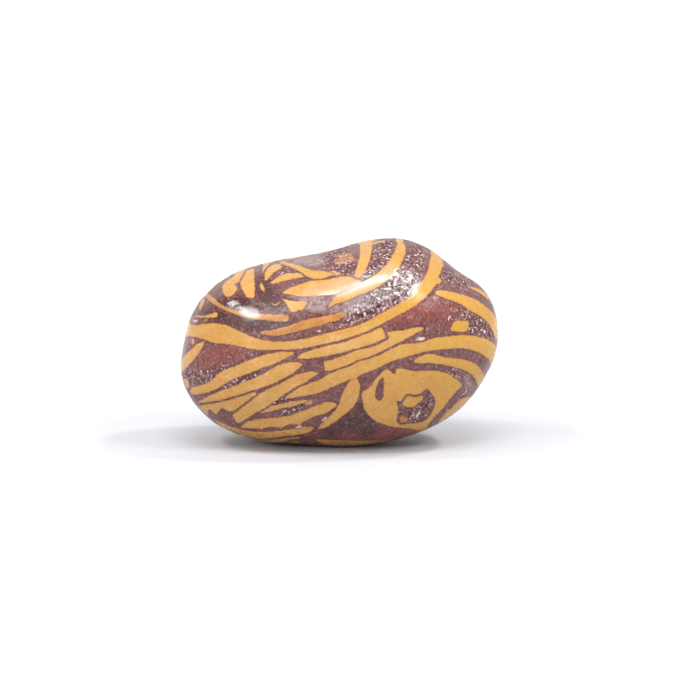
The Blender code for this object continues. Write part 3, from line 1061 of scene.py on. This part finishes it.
ragged = noises["edge waves"] * EDGE_WAVES + noises["edge teeth"] * EDGE_TEETH
first, second, third = (shade.attribute(f"band_{layer}") + ragged for layer in layers)
seam = noises["seams"] * SEAM_WAVER + SEAM
upper = first.least(second.most(seam - first))
outside = upper.least(third.most(seam - upper)) + EDGE_TRIM
gold = outside.ramp(-EDGE_SOFTNESS, EDGE_SOFTNESS, 1.0, 0.0)
print("bands are joined")

# %% Colours of the gold
GOLD = (0.515, 0.268, 0.063, 1)
PALE_GOLD = (0.58, 0.34, 0.112, 1)
RICH_GOLD = (0.505, 0.272, 0.040, 1)
DEEP_GOLD = (0.48, 0.21, 0.045, 1)
# Rust, and painted shade: a high warmth darkens the gold on the bottom rim
RUST_AND_BOTTOM_SHADE = (0.38, 0.14, 0.04, 1)
# Where each tint starts and where it is full, then how strong it is at either, if not 0 and 1
PALE_CLOUDS = (-0.1, 0.6)
RICH_RIGHT_END = (-1.0, 11.0, 0.0, 0.9)
ORANGE_MOTTLE = (-0.05, 0.4, 0.0, 0.8)
BLUSHES = (0.05, 0.35, 0.0, 0.5)
RUSTY_AND_SHADED = (0.3, 1.0, 0.0, 0.85)
NEAR_THE_EDGE = (-0.2, -0.02)
EDGE_SHADE = (-0.3, 0.3, 0.1, 0.6)
FINE_IN_CLOUDS = 0.5
END_WAVER = 5.0
RUST_WAVER = 0.6

cloudy, fine = noises["clouds"], noises["fine"]
lengthwise = shade.make("ShaderNodeSeparateXYZ", {}, {0: place}) * (1 / MM)
# Warmth: rust in the eye's corner, painted shade on the bottom rim
rust_and_shade = shade.attribute("warmth") + noises["rust"] * RUST_WAVER
gold_colour = lay_over(
    GOLD,
    ((cloudy + fine * FINE_IN_CLOUDS).ramp(*PALE_CLOUDS), PALE_GOLD),
    ((lengthwise + cloudy * END_WAVER).ramp(*RICH_RIGHT_END), RICH_GOLD),
    (noises["orange"].ramp(*ORANGE_MOTTLE), DEEP_GOLD),
    (noises["blushes"].ramp(*BLUSHES), DEEP_GOLD),
    (rust_and_shade.ramp(*RUSTY_AND_SHADED), RUST_AND_BOTTOM_SHADE),
    (outside.ramp(*NEAR_THE_EDGE) * noises["edge shade"].ramp(*EDGE_SHADE), DEEP_GOLD),
)
print("gold is mixed")

# %% Colours of the ground
MAROON = (0.115, 0.028, 0.026, 1)
PLUM = (0.205, 0.080, 0.078, 1)
BRICK = (0.26, 0.052, 0.036, 1)
# Nearly black: for dark crumbs and grit, the border line, and the dark places, which on the front are
# partly painted shade
DARK = (0.040, 0.009, 0.010, 1)
STAIN = (0.60, 0.29, 0.10, 1)
# Grey of the painted sheen
SHEEN_GREY = (0.50, 0.42, 0.42, 1)
# Pale grains, and painted glints: white specks in the colour stand in for grit catching the lamps
PALE_GRAIN_AND_GLINT = (0.72, 0.58, 0.55, 1)
# Where each tint starts and where it is full, then how strong it is at either, if not 0 and 1
PLUM_MOTTLE = (-0.3, 0.35)
BRICKY = (0.2, 1.4, 0.0, 0.65)
DARKENED = (0.1, 1.2, 0.0, 0.9)
STAINED = (0.45, 1.0, 0.0, 0.75)
RED_CRUMBS = (0.1, 0.4, 0.0, 0.6)
DARK_CRUMBS = (0.02, 0.3, 0.0, 0.8)
FLECKS_AND_GLINTS = (0.2, 0.42)
FLECKS_GATHER = (-0.3, 0.3, 0.15, 1.0)
DARK_GRIT = (0.0, 0.22)
PALE_GRIT_AND_GLINTS = (0.1, 0.27)
GRIT_GATHERS = (-0.35, 0.2, 0.3, 1.0)
BORDER = (0.02, 0.2, 0.28, 0.0)
PALE_SPOTS_AND_GLINTS = (0.4, 1.1, 0.0, 0.9)
# How far the noises fray the edges of the drawn places
FRAY = {"plum": 0.4, "brick": 0.9, "brick clouds": 0.5, "dark": 0.5, "stained": 1.1, "pale": 1.2}
# How strong flecks and grit are on even ground, and how much more so on coarse ground
FLECK_SHARES = (0.55, 0.35)
GRIT_SHARES = (0.15, 0.8)
SHEEN_SHARE = 0.27
SHEEN_MOTTLE = 0.8

mottle, crumbs, grit = noises["mottle"], noises["crumbs"], noises["grit"]
coarse_here = shade.attribute("coarse")
plum_here = mottle + cloudy * FRAY["plum"]
brick_here = shade.attribute("brick") + mottle * FRAY["brick"] + cloudy * FRAY["brick clouds"]
# Dark places: on the front partly painted shade and a painted reflection of the dark room
dark_and_shaded_here = shade.attribute("dark") + mottle * FRAY["dark"]
stained_here = shade.attribute("stained") + mottle * FRAY["stained"]
# Pale spots, partly painted glints
pale_and_glint_here = shade.attribute("pale") + crumbs * FRAY["pale"]
flecks_and_glints = coarse_here * FLECK_SHARES[1] + FLECK_SHARES[0]
flecks_and_glints = flecks_and_glints * noises["where flecks are"].ramp(*FLECKS_GATHER)
gritty = coarse_here * GRIT_SHARES[1] + GRIT_SHARES[0]
gritty = gritty * noises["where grit is"].ramp(*GRIT_GATHERS)
dark_grit = (0.0 - grit).ramp(*DARK_GRIT) * gritty
stone_colour = lay_over(
    MAROON,
    (plum_here.ramp(*PLUM_MOTTLE), PLUM),
    (brick_here.ramp(*BRICKY), BRICK),
    (dark_and_shaded_here.ramp(*DARKENED), DARK),
    (stained_here.ramp(*STAINED), STAIN),
    (noises["red crumbs"].ramp(*RED_CRUMBS), BRICK),
    (crumbs.ramp(*DARK_CRUMBS), DARK),
    # Pale flecks and pale grit, partly painted glints
    ((0.0 - crumbs).ramp(*FLECKS_AND_GLINTS) * flecks_and_glints, PALE_GRAIN_AND_GLINT),
    (dark_grit, DARK),
    (grit.ramp(*PALE_GRIT_AND_GLINTS) * gritty, PALE_GRAIN_AND_GLINT),
    # Painted sheen: grey haze of reflected light over the ground
    (shade.attribute("sheen_and_greyed") * (mottle * SHEEN_MOTTLE + SHEEN_SHARE), SHEEN_GREY),
    (outside.ramp(*BORDER), DARK),
    (gold, gold_colour),
    (pale_and_glint_here.ramp(*PALE_SPOTS_AND_GLINTS), PALE_GRAIN_AND_GLINT),
)
feed(jasper_shader, "Base Color", stone_colour)
print("ground is mixed")

# %% [markdown]
# ## Gloss and fine grain
# The gold takes an even polish. The ground is torn between its grains, dull in the gaps and bright
# on the grains, so it glints. The ridge has the brightest light of the photo, and there a clear
# coat over the stone gives it: a lamp alone would brighten the whole front. The finest grain is a
# bump, because real points as small as that would take millions of triangles.

# %% Roughness, coat and bump
GROUND_ROUGHNESS = 0.29
FINE_DULLNESS = 0.05
GOLD_GLOSS_GAIN = 0.02
COARSE_GLOSS_GAIN = 0.12
POLISH_GAIN = 0.16
DARK_GRIT_DULLNESS = 0.5
DULL_ROUGHNESS = 0.45
BUMP_DEPTH = 0.09 * MM
EVEN_GROUND_BUMP = 0.25
CRUMB_HEIGHT = 0.4
GLINT_HEIGHT = 0.6
SWELL_HEIGHT = 0.02

torn = dark_grit * coarse_here
gloss = GROUND_ROUGHNESS - gold * GOLD_GLOSS_GAIN + fine * FINE_DULLNESS
gloss = gloss - shade.attribute("polished") * POLISH_GAIN - coarse_here * COARSE_GLOSS_GAIN
gloss = gloss + torn * DARK_GRIT_DULLNESS
feed(jasper_shader, "Roughness", gloss.most(shade.attribute("dull") * DULL_ROUGHNESS))
feed(jasper_shader, "Coat Weight", shade.attribute("ridge") * (1.0 - torn))
keep_even(jasper_shader, {"Specular IOR Level": 0.45, "Coat Roughness": 0.3, "Coat IOR": 2.4})

bumpy = coarse_here * (1 - EVEN_GROUND_BUMP) + EVEN_GROUND_BUMP
bumpy = bumpy * (1.0 - gold) * (1.0 - shade.attribute("polished"))
height = (crumbs * CRUMB_HEIGHT + noises["glints"] * GLINT_HEIGHT) * bumpy
height = height + noises["swell"] * SWELL_HEIGHT
bump_values = {"Strength": 1.0, "Distance": BUMP_DEPTH, "Height": height}
feed(jasper_shader, "Normal", shade.make("ShaderNodeBump", {}, bump_values))
stone_mesh.materials.append(jasper)
print("jasper material:", len(jasper.node_tree.nodes), "nodes")

# %% [markdown]
# ## Floor, light and the room
# The photo is a product shot on white: a pale sheet that grows bright behind the stone, and a pale
# room. Near the stone the sheet is painted greyer and a little blue, as painted shade, so that the
# lamps' shadows show and look cool. A curved backdrop would hide the line where floor and room meet,
# but a flat sheet that glows further off does so too, and it gives no second shadow. The long strip
# above gives the streak along the stone's shoulder. The lamps on the left give the two lights on the
# lobe, the one at the front right lights the end of the ridge, and the right lamp gives the crisp
# shadow on the left.
# Three softboxes lift the front. The room is darker towards the camera, which keeps the front's
# colours deep.

# %% Lay the floor
FLOOR_SIDE = 8.0
# Painted shade: near the stone the sheet is greyer and a little blue, so that the lamps' shadows show
# and are cool
SHADED_SHEET_NEAR = (0.61, 0.615, 0.655, 1)
SHEET_FAR = (0.9, 0.9, 0.9, 1)
SHEET_SHADE_FADES = (0.03, 0.14)
NO_GLOW = (0, 0, 0, 1)
FULL_GLOW = (0.7, 0.7, 0.7, 1)
GLOW_GROWS = (0.10, 0.45)
FIBRES = (2.0, 3.0)
FIBRE_MARK = 0.03

floor_shape = bmesh.new()
bmesh.ops.create_grid(floor_shape, x_segments=1, y_segments=1, size=FLOOR_SIDE / 2)
floor_mesh = bpy.data.meshes.new("floor")
floor_shape.to_mesh(floor_mesh)
floor_shape.free()
floor = bpy.data.objects.new("floor", floor_mesh)
scene.collection.objects.link(floor)
paper, paper_shader, shade = new_material("white paper")
place = shade.make("ShaderNodeTexCoord", {}, {}, output="Object")
from_stone = shade.make("ShaderNodeVectorMath", {"operation": "LENGTH"}, {0: place}, output="Value")
whiteness = from_stone.ramp(*SHEET_SHADE_FADES) + shade.grain(place, *FIBRES) * FIBRE_MARK
feed(paper_shader, "Base Color", whiteness.blend(SHADED_SHEET_NEAR, SHEET_FAR))
feed(paper_shader, "Emission Color", from_stone.ramp(*GLOW_GROWS).blend(NO_GLOW, FULL_GLOW))
keep_even(paper_shader, {"Emission Strength": 1.0, "Roughness": 0.6, "Specular IOR Level": 0.1})
floor_mesh.materials.append(paper)
print("floor side, in m:", FLOOR_SIDE)

# %% Light the room
ROOM_FRONT = 0.3
ROOM_BACK = 0.8
ROOM_SEEN = 1.1
FRONT_END = -0.9
BACK_END = 0.35

world = bpy.data.worlds.new("white room")
world.use_nodes = True
scene.world = world
air = world.node_tree.nodes["Background"]
shade = Shade(world.node_tree)
direction = shade.make("ShaderNodeTexCoord", {}, {}, output="Generated")
depthwise = shade.make("ShaderNodeSeparateXYZ", {}, {0: direction}, output="Y")
ends = {"From Min": FRONT_END, "From Max": BACK_END, "To Min": ROOM_FRONT, "To Max": ROOM_BACK}
glow = shade.make("ShaderNodeMapRange", {}, {"Value": depthwise, **ends})
seen = shade.make("ShaderNodeLightPath", {}, {}, output="Is Camera Ray")
feed(air, "Strength", glow * (1.0 - seen) + seen * ROOM_SEEN)
keep_even(air, {"Color": (1, 1, 1, 1)})
scene.view_settings.view_transform = "Standard"
print("room light:", ROOM_FRONT, "to", ROOM_BACK)

# %% Hang the lamps: place and size in metres, power in watts
LAMPS = {
    "strip above": ((0.01, -0.20, 0.44), (0.26, 0.10), 0.93),
    "softbox above the front": ((-0.02, -0.45, 0.42), (0.5, 0.3), 0.25),
    "low softbox in front": ((0.15, -0.70, 0.06), (1.0, 0.12), 0.7),
    "left lamp": ((-0.27, -0.22, 0.42), (0.07, 0.07), 0.35),
    "small lamp on the left": ((-0.29, -0.065, 0.41), (0.11, 0.11), 0.6),
    "front left softbox": ((-0.31, -0.39, 0.24), (0.20, 0.16), 0.65),
    "front right lamp": ((0.30, -0.20, 0.35), (0.12, 0.12), 0.75),
    "right lamp": ((0.34, 0.01, 0.50), (0.05, 0.05), 1.05),
}
for name, (lamp_place, lamp_size, power) in LAMPS.items():
    light = bpy.data.lights.new(name, "AREA")
    light.shape = "RECTANGLE"
    light.size, light.size_y = lamp_size
    light.energy = power
    holder = bpy.data.objects.new(name, light)
    holder.location = lamp_place
    holder.rotation_euler = (CAMERA_AIM - holder.location).to_track_quat("-Z", "Y").to_euler()
    scene.collection.objects.link(holder)
print(len(LAMPS), "lamps")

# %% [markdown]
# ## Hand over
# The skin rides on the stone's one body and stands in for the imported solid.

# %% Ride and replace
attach(stone, "root")
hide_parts("jasper")
